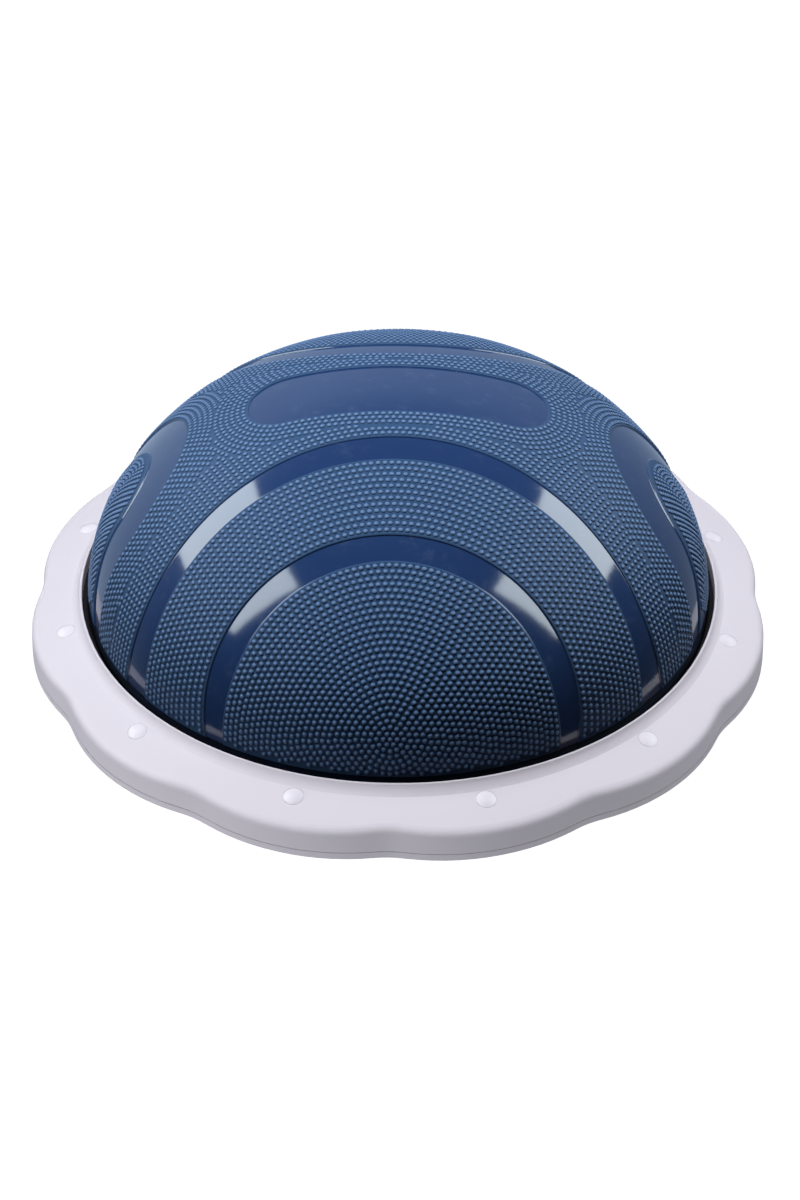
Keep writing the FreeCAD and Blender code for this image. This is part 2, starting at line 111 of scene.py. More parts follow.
# ---- mesh of the skin ----
EDGE_STEP = 2.6 * MM
GRID_STEP = 5.2 * MM
RIM_SEGMENTS = 360
HOLE_SEGMENTS = 72
EDGE_LINES = (-2.1, -1.5, -1.0, -0.5, 0.0, 0.35, 0.7, 1.1, 1.6)  # mm inside an edge
TREAD_CLEAR = 4.2 * MM           # grid to an edge, on the tread
BAND_CLEAR = 3.6 * MM            # grid to an edge, on a band
RIM_CLEAR = 0.8 * MM             # edge lines to the rim
HOLE_CLEAR = 1 * MM              # edge lines to the valve's hole
GRID_HOLE_CLEAR = 2 * MM
POINT_MERGE = 1e-6
HAIR = 0.05 * MM
GRID_RIM_CLEAR = 0.6 * GRID_STEP
GRID_ROW = math.sqrt(0.75)       # row to row of a grid of even triangles, in steps
WALL_LINES, INSIDE_LINES = 7, 6
BLEND_TURNS = np.radians([22, 45, 67, 90])
FLANGE_TURNS = np.radians([0, 30, 60, 90, 120, 150, 180])
HOLE_RIM = 0.5 * MM              # reach within which an open edge is the valve hole's
BAND_FINISH_DEPTH = 0.35 * MM    # the band's polish starts this far inside its edge
TREAD, BAND, SKIRT = 0, 1, 2     # finishes of the skin, by material slot

# ---- search along the skin ----
CURVE_POINTS = 1440
CURVE_REACH = 0.42               # farther than any curve runs from its pole
HALVINGS = 34
FORM_SAMPLES = 4000
TINY = 1e-9
LEAST_SLANT = 0.03               # keeps depths finite where a cut only grazes the skin
SLOPE_REACH = 0.08 * MM
BEAD_SPREAD = 0.6
SIDEWAYS = np.array([0.31, 0.17, 0.0])
UPRIGHT = 0.7                    # above this a normal counts as pointing up


def unit(vectors):
    """The vectors at length one."""
    return vectors / np.linalg.norm(vectors, axis=-1, keepdims=True)


def mirrored(edge, axis):
    """The same curve on the opposite side of the dome."""
    centre = list(edge[0])
    centre[axis] = -centre[axis]
    return tuple(centre), edge[1]


def both_sides(pole, axis, *edges):
    """A pole with its curves, then the same on the opposite side of the dome."""
    other = list(pole)
    other[axis] = -other[axis]
    return (pole, edges), (tuple(other), tuple(mirrored(edge, axis) for edge in edges))


class DomeForm:
    """Outside of the dome: three tangent arcs turned about Z.

    Its flat map is unrolled from the crown along meridians.
    """

    def __init__(self):
        upper, lower = CROWN_ARC_END, SHOULDER_ARC_END
        crown_r = CROWN_TIGHTNESS * DOME_R ** 2 / DOME_RISE
        reach = DOME_R - crown_r * math.sin(upper)
        drop = DOME_RISE - crown_r * (1 - math.cos(upper))
        sine_step = math.sin(lower) - math.sin(upper)
        cosine_step = math.cos(upper) - math.cos(lower)
        share = sine_step * math.cos(lower) - (1 - math.sin(lower)) * cosine_step
        shoulder_r = (reach * math.cos(lower) - (1 - math.sin(lower)) * drop) / share
        wall_r = (sine_step * drop - cosine_step * reach) / share
        self.radii = np.array([crown_r, shoulder_r, wall_r])
        crown = np.array([0, DOME_BASE_Z + DOME_RISE - crown_r])
        shoulder = crown + np.array([math.sin(upper), math.cos(upper)]) * (crown_r - shoulder_r)
        wall = shoulder + np.array([math.sin(lower), math.cos(lower)]) * (shoulder_r - wall_r)
        self.centres = np.array([crown, shoulder, wall])
        self.tilts = np.array([0, upper, lower, WALL_ARC_END])
        self.runs = np.concatenate([[0], np.cumsum(self.radii * np.diff(self.tilts))])

    def section(self, tilt):
        """Radius and height where the form tilts by that angle from level."""
        which = np.clip(np.searchsorted(self.tilts, tilt, side="right") - 1, 0, 2)
        radius = self.centres[which, 0] + self.radii[which] * np.sin(tilt)
        return radius, self.centres[which, 1] + self.radii[which] * np.cos(tilt)

    def lift(self, flat):
        """Points and outward normals on the dome for points of the flat map."""
        run = np.maximum(np.hypot(flat[:, 0], flat[:, 1]), TINY)
        heading = flat / run[:, None]
        tilt = np.interp(run, self.runs, self.tilts)
        radius, z = self.section(tilt)
        points = np.column_stack([heading * radius[:, None], z])
        normals = np.column_stack([heading * np.sin(tilt)[:, None], np.cos(tilt)])
        return points, normals

    def unroll(self, points):
        """Points of the flat map nearest to points in space."""
        radius = np.maximum(np.hypot(points[:, 0], points[:, 1]), TINY)
        heading = points[:, :2] / radius[:, None]
        tilt = np.zeros(len(points))
        for (cr, cz), first in zip(self.centres, self.tilts[:3]):
            angle = np.arctan2(radius - cr, points[:, 2] - cz)
            tilt = np.where(angle >= first, angle, tilt)
        return heading * np.interp(tilt, self.tilts, self.runs)[:, None]

    def seat(self, points):
        """Points and normals on the dome nearest to points in space."""
        return self.lift(self.unroll(points))

    def run_at(self, z):
        """Distance from the crown, along a meridian, down to a height."""
        tilts = np.linspace(0, WALL_ARC_END, FORM_SAMPLES)
        heights = self.section(tilts)[1]
        return float(np.interp(np.interp(-z, -heights, tilts), self.tilts, self.runs))

    def tilt_at(self, z):
        """Tilt of the form at a height."""
        return float(np.interp(self.run_at(z), self.runs, self.tilts))


FORM = DomeForm()
VALVE_POINT = np.array([0, *FORM.section(np.array(VALVE_TILT))])
CROWN_POLE = (0, 0, 1)
VALVE_POLE = tuple(VALVE_POINT)


def ball_depth(points, normals, edge):
    """How far inside a ball's cut the points lie, along the skin."""
    away = points - np.array(edge[0])
    span = np.linalg.norm(away, axis=1)
    facing = (away * normals).sum(axis=1) / span
    return (edge[1] - span) / np.sqrt(np.maximum(1 - facing ** 2, LEAST_SLANT))


def crown_depth(points, normals):
    """How far inside the crown's long oval the points lie, seen from above."""
    corner = np.array([CROWN_HALF_L - CROWN_CORNER_R, CROWN_HALF_W - CROWN_CORNER_R])
    beyond = np.abs(points[:, :2] - (0, CROWN_MIDDLE_Y)) - corner
    outside = np.linalg.norm(np.maximum(beyond, 0), axis=1) + np.minimum(beyond.max(axis=1), 0)
    return CROWN_CORNER_R - outside


def from_valve(points):
    """Distance of the points from the middle of the valve."""
    return np.linalg.norm(points - VALVE_POINT, axis=1)


def valve_depth(points, normals):
    """How far inside the smooth patch round the valve the points lie."""
    return VALVE_PATCH_R - from_valve(points)


def skirt_depth(points, normals):
    """How far below the tread's lower edge the points lie."""
    slant = np.sqrt(np.maximum(1 - normals[:, 2] ** 2, LEAST_SLANT))
    return (TREAD_LOW_Z - points[:, 2]) / slant


def band_depth(points, normals, outer, inner):
    """How far inside a band the points lie."""
    return np.minimum(ball_depth(points, normals, outer), -ball_depth(points, normals, inner))


def smooth_depth(points, normals):
    """How far inside the smooth, sunk parts of the skin the points lie; negative on the tread."""
    depths = [depth_of(points, normals) for depth_of in (crown_depth, valve_depth, skirt_depth)]
    for main_pole, axis, outer, inner in BANDS:
        for _, edges in both_sides(main_pole, axis, outer, inner):
            depths.append(band_depth(points, normals, *edges))
    return np.maximum.reduce(depths)


def skin_height(depth, dome):
    """Height of the skin over the dome's form, by depth inside the smooth parts."""
    step = np.clip(depth / dome.wall_width, 0, 1)
    step = step * step * (3 - 2 * step)
    off_bead = (depth + dome.bead_width) / (BEAD_SPREAD * dome.bead_width)
    bead = dome.bead_height * np.exp(-(off_bead ** 2))
    return -dome.tread_sink + bead * (1 - step) - (dome.band_depth - dome.tread_sink) * step


def closed_curve(pole, depth_of, level=0.0, count=CURVE_POINTS):
    """Flat curve round a pole where depth_of is level, starting towards the crown."""
    centre = FORM.unroll(np.array([pole], float))[0]
    start = math.atan2(-centre[1], -centre[0]) if centre.any() else -math.pi / 2
    angles = start + np.arange(count) * 2 * math.pi / count
    headings = np.column_stack([np.cos(angles), np.sin(angles)])
    low, high = np.zeros(count), np.full(count, CURVE_REACH)
    for _ in range(HALVINGS):
        middle = (low + high) / 2
        inside = depth_of(*FORM.lift(centre + headings * middle[:, None])) > level
        low, high = np.where(inside, middle, low), np.where(inside, high, middle)
    return centre + headings * low[:, None]


def ball_curve(edge, pole, level=0.0):
    """Flat curve where the cut of a ball is level deep."""
    return closed_curve(pole, lambda points, normals: ball_depth(points, normals, edge), level)


def lengths_along(flat):
    """Distance on the dome from the start of a closed flat curve to each point, and back."""
    points = FORM.lift(flat)[0]
    steps = np.linalg.norm(np.diff(points, axis=0, append=points[:1]), axis=1)
    return np.concatenate([[0], np.cumsum(steps)])


def picked(flat, along, at):
    """Points of a closed flat curve at distances along it."""
    loop = np.vstack([flat, flat[:1]])
    return np.column_stack([np.interp(at, along, loop[:, 0]), np.interp(at, along, loop[:, 1])])


def evenly(flat, step):
    """A closed flat curve, thinned to points about one step apart on the dome."""
    along = lengths_along(flat)
    count = max(8, round(along[-1] / step))
    return picked(flat, along, np.arange(count) * along[-1] / count)


def edge_loops():
    """Every line that the skin's mesh follows: its edges and lines beside them, as flat loops."""
    loops = []
    for level in EDGE_LINES:
        level *= MM
        for main_pole, axis, outer, inner in BANDS:
            for edge, side in ((inner, -1), (outer, 1)):
                for pole, (cut,) in both_sides(main_pole, axis, edge):
                    loops.append(ball_curve(cut, pole, side * level))
        loops.append(closed_curve(CROWN_POLE, crown_depth, level))
        loops.append(closed_curve(VALVE_POLE, valve_depth, level))
        loops.append(closed_curve(CROWN_POLE, lambda at, facing: level - skirt_depth(at, facing)))
    return [evenly(loop, EDGE_STEP) for loop in loops]


def skin_layout():
    """Flat points and triangles of the skin above its skirt, cut along every edge line."""
    rim_run = FORM.run_at(SKIRT_TOP_Z)
    angles = np.arange(RIM_SEGMENTS) * 2 * math.pi / RIM_SEGMENTS
    rim = rim_run * np.column_stack([np.sin(angles), -np.cos(angles)])
    hole = closed_curve(
        VALVE_POLE, lambda points, normals: VALVE_HOLE_R - from_valve(points), count=HOLE_SEGMENTS)
    flats, edges, start = [rim, hole], [], 0
    for loop in (rim, hole):
        ids = np.arange(len(loop)) + start
        edges += np.column_stack([ids, np.roll(ids, -1)]).tolist()
        start += len(loop)
    for loop in edge_loops():
        keep = np.hypot(loop[:, 0], loop[:, 1]) < rim_run - RIM_CLEAR
        keep &= from_valve(FORM.lift(loop)[0]) > VALVE_HOLE_R + HOLE_CLEAR
        ids = np.cumsum(keep) - 1 + start
        pairs = np.column_stack([ids, np.roll(ids, -1)])[keep & np.roll(keep, -1)]
        flats.append(loop[keep])
        edges += pairs.tolist()
        start += int(keep.sum())
    flats.append(grid_points(rim_run))
    flat = np.vstack(flats)
    made = delaunay_2d_cdt([Vector(p) for p in flat], edges, [], 0, POINT_MERGE, False)
    flat = np.array([tuple(p) for p in made[0]])
    faces = np.array(made[2])
    middles = flat[faces].mean(axis=1)
    hollow = from_valve(FORM.lift(middles)[0]) < VALVE_HOLE_R - HAIR
    return flat, faces[~hollow]


def grid_points(rim_run):
    """Flat points that fill the skin between its edge lines."""
    count = int(2 * rim_run / GRID_STEP)
    rows = []
    for index in range(-count, count):
        y = index * GRID_STEP * GRID_ROW
        x = (np.arange(-count, count) + 0.5 * (index % 2)) * GRID_STEP
        rows.append(np.column_stack([x, np.full(len(x), y)]))
    flat = np.vstack(rows)
    flat = flat[np.hypot(flat[:, 0], flat[:, 1]) < rim_run - GRID_RIM_CLEAR]
    points, normals = FORM.lift(flat)
    depth = smooth_depth(points, normals)
    clear = (depth < -TREAD_CLEAR) | (depth > BAND_CLEAR)
    clear &= from_valve(points) > VALVE_HOLE_R + GRID_HOLE_CLEAR
    return flat[clear]


def tangents(normals):
    """Two directions along the skin for each normal."""
    lean = SIDEWAYS + np.array([0, 0, 1]) * (normals[:, 2:] < UPRIGHT)
    first = unit(np.cross(normals, lean))
    return first, np.cross(normals, first)


def skin_points(flat, dome):
    """Points and true normals of the moulded skin at flat points."""
    points, normals = FORM.lift(flat)

    def height(at):
        return skin_height(smooth_depth(*FORM.seat(at)), dome)

    lean = normals.copy()
    for along in tangents(normals):
        step = along * SLOPE_REACH
        rise = (height(points + step) - height(points - step)) / (2 * SLOPE_REACH)
        lean -= along * rise[:, None]
    return points + normals * height(points)[:, None], unit(lean)


def skirt_section():
    """Section of the skin below its tread: wall, blend, clamping flange and the wall's inside."""
    tilt_top = FORM.tilt_at(SKIRT_TOP_Z)
    foot_z = FLANGE_Z + FLANGE_T
    section = []
    wall_end = FORM.tilt_at(foot_z + FLANGE_BLEND)
    for tilt in np.linspace(tilt_top, wall_end, WALL_LINES)[1:]:
        radius, z = FORM.section(np.array(tilt))
        section.append((float(radius), float(z)))
    radius = section[-1][0] + FLANGE_BLEND
    for turn in BLEND_TURNS:
        z = foot_z + FLANGE_BLEND * (1 - math.sin(turn))
        section.append((radius - FLANGE_BLEND * math.cos(turn), z))
    edge = FLANGE_T / 2
    for turn in FLANGE_TURNS:
        z = foot_z - edge + edge * math.cos(turn)
        section.append((FLANGE_R - edge + edge * math.sin(turn), z))
    for tilt in np.linspace(FORM.tilt_at(FLANGE_Z), tilt_top, INSIDE_LINES)[:-1]:
        radius, z = FORM.section(np.array(tilt))
        inside_z = max(FLANGE_Z, float(z - SKIN_T * math.cos(tilt)))
        section.append((float(radius - SKIN_T * math.sin(tilt)), inside_z))
    return section


def mesh_object(name, points, faces, finishes, body, face_finish=None, normals=None):
    """A smooth-shaded mesh piece that rides on a body and is lit as part of the dome."""
    mesh = bpy.data.meshes.new(name)
    mesh.from_pydata(np.asarray(points).tolist(), [], [list(f) for f in faces])
    mesh.update()
    mesh.shade_smooth()
    for finish in finishes:
        mesh.materials.append(finish)
    if face_finish is not None:
        mesh.polygons.foreach_set("material_index", np.asarray(face_finish, np.int32))
    if normals is not None:
        mesh.normals_split_custom_set_from_vertices(np.asarray(normals).tolist())
    piece = bpy.data.objects.new(name, mesh)
    bpy.context.scene.collection.objects.link(piece)
    bpy.data.collections[DOME_PIECES].objects.link(piece)
    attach(piece, body)
    return piece


def border_of(faces):
    """Where each edge that only one face uses leads, from its start to its end."""
    corners = faces.tolist()
    edges = {pair: True for a, b, c in corners for pair in ((a, b), (b, c), (c, a))}
    return {start: end for start, end in edges if (end, start) not in edges}


def plain_normals(points, faces):
    """Averaged normals at the points of a mesh."""
    mesh = bpy.data.meshes.new("skin_normals")
    mesh.from_pydata(points.tolist(), [], faces)
    mesh.shade_smooth()
    normals = np.array([tuple(v.vector) for v in mesh.vertex_normals])
    bpy.data.meshes.remove(mesh)
    return normals


def build_skin(dome):
    """The moulded skin as one closed shell: tread and bands outside, plain inside, flange below."""
    flat, faces = skin_layout()
    form_points, form_normals = FORM.lift(flat)
    outer, outer_normals = skin_points(flat, dome)
    inner = form_points - form_normals * SKIN_T
    corners = flat[faces]
    area = np.cross(corners[:, 1] - corners[:, 0], corners[:, 2] - corners[:, 0])
    faces[area < 0] = faces[area < 0][:, ::-1]
    count = len(flat)
    middles = FORM.lift(flat[faces].mean(axis=1))
    # faces below the tread take the skirt finish, painted near-black as shade
    finish = [
        SKIRT if below > 0 else BAND if depth > BAND_FINISH_DEPTH else TREAD
        for depth, below in zip(smooth_depth(*middles), skirt_depth(*middles))
    ]
    every = faces.tolist() + (faces[:, ::-1] + count).tolist()
    finish += [BAND] * len(faces)

    # the valve's hole joins the outside to the inside
    border = border_of(faces)
    near_valve = from_valve(form_points) < VALVE_HOLE_R + HOLE_RIM
    for start, end in border.items():
        if near_valve[start]:
            every.append([end, start, start + count, end + count])
            finish.append(BAND)

    # the skirt's section runs on from the rim, ring by ring, back to the rim's inside
    rim = [start for start in border if not near_valve[start]][:1]
    while border[rim[-1]] != rim[0]:
        rim.append(border[rim[-1]])
    headings = unit(form_points[rim][:, :2])
    rings, extra = [rim], []
    for radius, z in skirt_section():
        first = 2 * count + len(extra) * len(rim)
        extra.append(np.column_stack([headings * radius, np.full(len(rim), z)]))
        rings.append(list(range(first, first + len(rim))))
    rings.append([index + count for index in rim])
    for upper, lower in zip(rings, rings[1:]):
        for index in range(len(rim)):
            after = (index + 1) % len(rim)
            every.append([upper[after], upper[index], lower[index], lower[after]])
            finish.append(SKIRT)

    points = np.vstack([outer, inner] + extra)
    normals = plain_normals(points, every)
    off_rim = np.ones(count, bool)
    off_rim[rim] = False
    normals[:count][off_rim] = outer_normals[off_rim]
    skin = mesh_object(
        "dome_skin", points, every, [tread_finish(dome), band_finish(dome), skirt_finish(dome)],
        "trainer", finish, normals,
    )
    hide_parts("dome_bladder")


# ---- studs ----
STUD_SIDES = 8
STUD_RINGS = ((1.0, -0.2, 0.0), (0.9, 0.36, 0.35), (0.6, 0.83, 0.8))  # radius, height, rise: share of the pale top colour, partly painted light and partly wear
STUD_MARGIN = 0.62               # stud's middle to a tread's edge, in diameters
LOOK_AHEAD = 3                   # points between which a curve's heading is taken
STAGGER = 0.5                    # shift of every other row, in pitches
ROW_END_GAP = 0.3                # least gap where a row meets its start, in pitches
DISC_ROWS = 28
SIDE_DISC_ROWS = 22
OUTER_ROW_INSET = 0.35           # outer row to the disc's edge, in rows
CRESCENT_ROWS = 12
CRESCENT_INSET = 0.055           # first row from the crescent's inner edge, in its width
CRESCENT_SPAN = 0.89             # first row to last, in its width
FIELD_ROWS = 18
FIELD_OVERLAP = 0.25             # how far a row may pass into another curve's rows, in rows


def row_walk(flat, pitch, row, fit=False):
    """Flat points along a row's closed curve, a pitch apart both ways from its start."""
    along = lengths_along(flat)
    total = along[-1]
    if fit:
        pitch = total / max(3, round(total / pitch))
    most = math.ceil(total / pitch)
    at = (np.arange(-most, most + 1) + STAGGER * (row % 2)) * pitch
    at = at[(at > -total / 2 + pitch * ROW_END_GAP) & (at <= total / 2)] % total
    return picked(flat, along, at)


def disc_rows(edge, pole, rows, dome):
    """Rows of a disc: its edge curve drawn in towards the pole, its lower half like its upper."""
    centre = FORM.unroll(np.array([pole], float))[0]
    curve = ball_curve(edge, pole)
    reach = np.linalg.norm(curve - centre, axis=1)
    half = len(curve) // 2
    across = reach[(half - np.arange(len(curve))) % len(curve)]
    curve = centre + (curve - centre) * (np.minimum(reach, across) / reach)[:, None]
    found = [centre[None]]
    for row in range(1, rows):
        loop = centre + (curve - centre) * (row / (rows - OUTER_ROW_INSET))
        found.append(row_walk(loop, dome.stud_pitch, row, fit=True))
    return np.vstack(found)


def crescent_rows(inner, outer, pole, dome):
    """Rows of a crescent: curves shared out evenly between its two edges."""
    near, far = ball_curve(inner, pole), ball_curve(outer, pole)
    found = []
    for row in range(CRESCENT_ROWS):
        share = CRESCENT_INSET + CRESCENT_SPAN * row / (CRESCENT_ROWS - 1)
        found.append(row_walk(near + (far - near) * share, dome.stud_pitch, row))
    return np.vstack(found)


def grown(flat, step):
    """A closed flat curve moved outwards along the skin by a step."""
    points, normals = FORM.lift(flat)
    ahead = np.roll(points, -LOOK_AHEAD, axis=0) - np.roll(points, LOOK_AHEAD, axis=0)
    outwards = unit(np.cross(ahead, normals))
    return FORM.unroll(points + outwards * step)


def point_tree(points):
    """Points sorted for finding the nearest of them."""
    tree = kdtree.KDTree(len(points))
    for index, point in enumerate(points):
        tree.insert(point, index)
    tree.balance()
    return tree


class Planted:
    """Places taken by studs, kept in cells so that neighbours are found quickly."""

    def __init__(self, cell):
        self.cell = cell
        self.taken = {}

    def take(self, point, clearance):
        """Takes a place, unless a stud stands closer than the clearance."""
        key = tuple((point // self.cell).astype(int))
        near = [
            other
            for step in itertools.product((-1, 0, 1), repeat=3)
            for other in self.taken.get(tuple(k + s for k, s in zip(key, step)), ())
        ]
        if near and np.linalg.norm(np.array(near) - point, axis=1).min() < clearance:
            return False
        self.taken.setdefault(key, []).append(point)
        return True


def field_rows(dome):
    """Rows of the open field: each wraps the nearest of the bands and the crown's oval."""
    curves = []
    for main_pole, axis, outer, _ in BANDS[1:]:
        for pole, (edge,) in both_sides(main_pole, axis, outer):
            curves.append(ball_curve(edge, pole))
    crown = len(curves)
    curves.append(closed_curve(CROWN_POLE, crown_depth))
    trees = []
    for curve in curves:
        points = FORM.lift(curve)[0]
        trees.append(point_tree(points[points[:, 2] > 0]))
    kept, planted = [], Planted(dome.row_spacing)
    for row in range(FIELD_ROWS):
        step = dome.row_spacing if row else dome.edge_margin
        reach = dome.edge_margin + (row - FIELD_OVERLAP) * dome.row_spacing
        for which in (crown, *range(crown)):
            curves[which] = grown(curves[which], step)
            for flat in row_walk(curves[which], dome.stud_pitch, row, fit=which == crown):
                point = FORM.lift(flat[None])[0][0]
                if point[2] < TREAD_LOW_Z:
                    continue
                others = [tree.find(point)[2] for tree in trees[:which] + trees[which + 1:]]
                if min(others) >= reach and planted.take(point, dome.stud_clearance):
                    kept.append(flat)
    return np.array(kept)


def plant_studs(name, flat, dome, finish):
    """One piece that holds the studs at flat points of the dome, each a closed rounded bump."""
    points, normals = FORM.lift(flat)
    keep = smooth_depth(points, normals) < -STUD_MARGIN * dome.stud_diameter
    points, normals = points[keep], normals[keep]
    first, second = tangents(normals)
    base = points - normals * dome.tread_sink
    layers, rises = [], []
    for share, height, rise in STUD_RINGS:
        radius = dome.stud_diameter / 2 * share
        for side in range(STUD_SIDES):
            turn = 2 * math.pi * side / STUD_SIDES
            out = (first * math.cos(turn) + second * math.sin(turn)) * radius
            layers.append(base + out + normals * dome.stud_height * height)
            rises.append(rise)
    layers.append(base + normals * dome.stud_height)
    rises.append(1.0)
    vertices = np.stack(layers, axis=1).reshape(-1, 3)
    faces = [list(range(STUD_SIDES))[::-1]]
    for ring in range(len(STUD_RINGS) - 1):
        for side in range(STUD_SIDES):
            a, b = ring * STUD_SIDES + side, ring * STUD_SIDES + (side + 1) % STUD_SIDES
            faces.append([a, b, b + STUD_SIDES, a + STUD_SIDES])
    last = (len(STUD_RINGS) - 1) * STUD_SIDES
    top = last + STUD_SIDES
    faces += [[last + side, last + (side + 1) % STUD_SIDES, top] for side in range(STUD_SIDES)]
    starts = range(0, len(vertices), len(layers))
    every = [[index + start for index in face] for start in starts for face in faces]
    piece = mesh_object(name, vertices, every, [finish], "trainer")
    # the rise from foot to top feeds the studs' painted top light and foot shade, as well as their
    # wear
    rise = piece.data.attributes.new("rise", "FLOAT", "POINT")
    rise.data.foreach_set("value", np.tile(np.array(rises, np.float32), len(points)))


# ---- finishes ----
class Value:
    """A number socket. Arithmetic on it adds Math nodes."""

    def __init__(self, finish, socket):
        self.finish = finish
        self.socket = socket

    def _math(self, operation, first, second):
        made = self.finish.node("ShaderNodeMath", {"operation": operation}, {0: first, 1: second})
        return Value(self.finish, made.outputs[0])

    def __add__(self, other):
        return self._math("ADD", self, other)

    def __sub__(self, other):
        return self._math("SUBTRACT", self, other)

    def __rsub__(self, other):
        return self._math("SUBTRACT", other, self)

    def __mul__(self, other):
        return self._math("MULTIPLY", self, other)

    __radd__ = __add__
    __rmul__ = __mul__


class Finish:
    """A material's or the world's node tree while it is being made."""

    def __init__(self, tree, material=None):
        self.tree = tree
        self.material = material
        tree.nodes.clear()
        self.coordinates = None

    def node(self, kind, settings=None, inputs=None):
        """A node of a kind: settings first, then the values or links of its sockets."""
        made = self.tree.nodes.new(kind)
        for key, value in (settings or {}).items():
            if key == "stops":
                elements = made.color_ramp.elements
                for index, (place, colour) in enumerate(value):
                    element = elements[index] if index < 2 else elements.new(place)
                    element.position, element.color = place, colour
            else:
                setattr(made, key, value)
        for key, value in (inputs or {}).items():
            source = getattr(value, "socket", value)
            if isinstance(source, bpy.types.NodeSocket):
                self.tree.links.new(source, made.inputs[key])
            else:
                made.inputs[key].default_value = source
        return made

    def place(self):
        """Coordinates in the piece's own metres."""
        if self.coordinates is None:
            self.coordinates = self.node("ShaderNodeTexCoord").outputs["Object"]
        return self.coordinates

    def noise(self, scale, detail=2.0, roughness=0.5):
        """Noise from 0 to 1, its scale in bumps to the metre."""
        made = self.node(
            "ShaderNodeTexNoise", None,
            {"Vector": self.place(), "Scale": scale, "Detail": detail, "Roughness": roughness},
        )
        return Value(self, made.outputs["Fac"])

    def between(self, value, low, high):
        """A value stretched so that low becomes 0 and high becomes 1, held inside them."""
        made = self.node(
            "ShaderNodeMapRange", {"interpolation_type": "SMOOTHSTEP"},
            {"Value": value, "From Min": low, "From Max": high},
        )
        return Value(self, made.outputs["Result"])

    def mixed(self, share, first, second):
        """One colour turning into another."""
        made = self.node("ShaderNodeMix", {"data_type": "RGBA"}, {0: share, 6: first, 7: second})
        return made.outputs[2]

    def bumped(self, height, distance, strength):
        """Normals of a bumpy face."""
        inputs = {"Height": height, "Distance": distance, "Strength": strength}
        return self.node("ShaderNodeBump", None, inputs).outputs["Normal"]

    def surface(self, **inputs):
        """Makes the surface itself and gives back the finished material."""
        named = {
            key.replace("_", " ").title().replace("Ior", "IOR"): value
            for key, value in inputs.items()
        }
        shader = self.node("ShaderNodeBsdfPrincipled", None, named)
        self.node("ShaderNodeOutputMaterial", None, {"Surface": shader.outputs[0]})
        return self.material


def new_finish(name):
    """The node tree of a new material, to work on."""
    material = bpy.data.materials.new(name)
    material.use_nodes = True
    return Finish(material.node_tree, material)


def shade(colour, factor):
    """A colour made lighter or darker, with full alpha."""
    return tuple(min(1.0, channel * factor) for channel in colour[:3]) + (1.0,)


def band_finish(dome):
    """Polished vinyl of the smooth bands, with faint flow marks and dust."""
    make = new_finish("polished_band_vinyl")
    cloud = make.noise(9, detail=3)
    fine = make.noise(420, detail=2)
    dust = make.between(make.noise(60, detail=6, roughness=0.7), 0.52, 0.75)
    colour = make.mixed(cloud, shade(dome.band_colour, 0.93), shade(dome.band_colour, 1.08))
    return make.surface(
        base_color=make.mixed(dust * 0.04, colour, shade(dome.dust_colour, 1.0)),
        roughness=dust * 0.05 + fine * 0.02 + 0.09,
        normal=make.bumped(make.noise(34, detail=2) * 0.8 + fine * 0.05, 0.35 * MM, 0.25),
        ior=1.62,
        specular_ior_level=0.62,
    )


def tread_finish(dome):
    """Matt grained vinyl between the studs."""
    make = new_finish("grained_tread_vinyl")
    cloud = make.noise(14, detail=3)
    grain = make.noise(1500, detail=3)
    colour = make.mixed(cloud, shade(dome.tread_colour, 0.9), shade(dome.tread_colour, 1.12))
    return make.surface(
        base_color=colour,
        roughness=grain * 0.12 + 0.45,
        normal=make.bumped(grain, 0.15 * MM, 0.5),
        specular_ior_level=0.14,
    )


def skirt_finish(dome):
    """Dull unpolished vinyl below the tread, painted near-black as the shade under the rim ring's
    lip, mottled at random.
    """
    make = new_finish("dull_skirt_vinyl")
    grain = make.noise(900, detail=3)
    painted_shade_mottle = make.between(make.noise(35, detail=4, roughness=0.6), 0.3, 0.7)
    return make.surface(
        # painted shade: the band colour darkened to near-black stands in for the rim ring's shadow
        # on the skirt
        base_color=make.mixed(painted_shade_mottle, shade(dome.band_colour, 0.22), shade(dome.band_colour, 0.1)),
        roughness=grain * 0.15 + 0.7,
        normal=make.bumped(grain, 0.1 * MM, 0.5),
        specular_ior_level=0.1,
    )


def stud_finish(dome):
    """Vinyl of the studs, paler towards their tops: partly wear, partly painted light on the tops
    and painted shade at their feet.
    """
    make = new_finish("stud_vinyl")
    rise = Value(make, make.node("ShaderNodeAttribute", {"attribute_name": "rise"}).outputs["Fac"])
    cloud = make.noise(14, detail=3)
    grain = make.noise(1300, detail=3)
    # painted light and shade as well as wear: the rise from foot to top turns the ground colour
    # into the pale top colour
    painted_light_and_wear = make.between(rise + grain * 0.3, 0.3, 1.2)
    low = make.mixed(cloud, shade(dome.tread_colour, 0.9), shade(dome.tread_colour, 1.1))
    return make.surface(
        base_color=make.mixed(painted_light_and_wear, low, shade(dome.stud_top_light_and_wear_colour, 1.0)),
        roughness=grain * 0.1 - painted_light_and_wear * 0.04 + 0.42,
        normal=make.bumped(grain, 0.08 * MM, 0.4),
        specular_ior_level=0.16,
    )


def moulded_finish(name, colour, roughness, grain_scale=900, sheen=0.5):
    """Moulded plastic with fine spark grain, soft mottling and a faint handled polish."""
    make = new_finish(name)
    cloud = make.noise(7, detail=4)
    grain = make.noise(grain_scale, detail=3)
    polish = make.between(make.noise(22, detail=4), 0.35, 0.7)
    return make.surface(
        base_color=make.mixed(cloud, shade(colour, 0.97), shade(colour, 1.02)),
        roughness=grain * 0.08 - polish * 0.06 + roughness,
        normal=make.bumped(grain, 0.05 * MM, 0.5),
        specular_ior_level=sheen,
    )


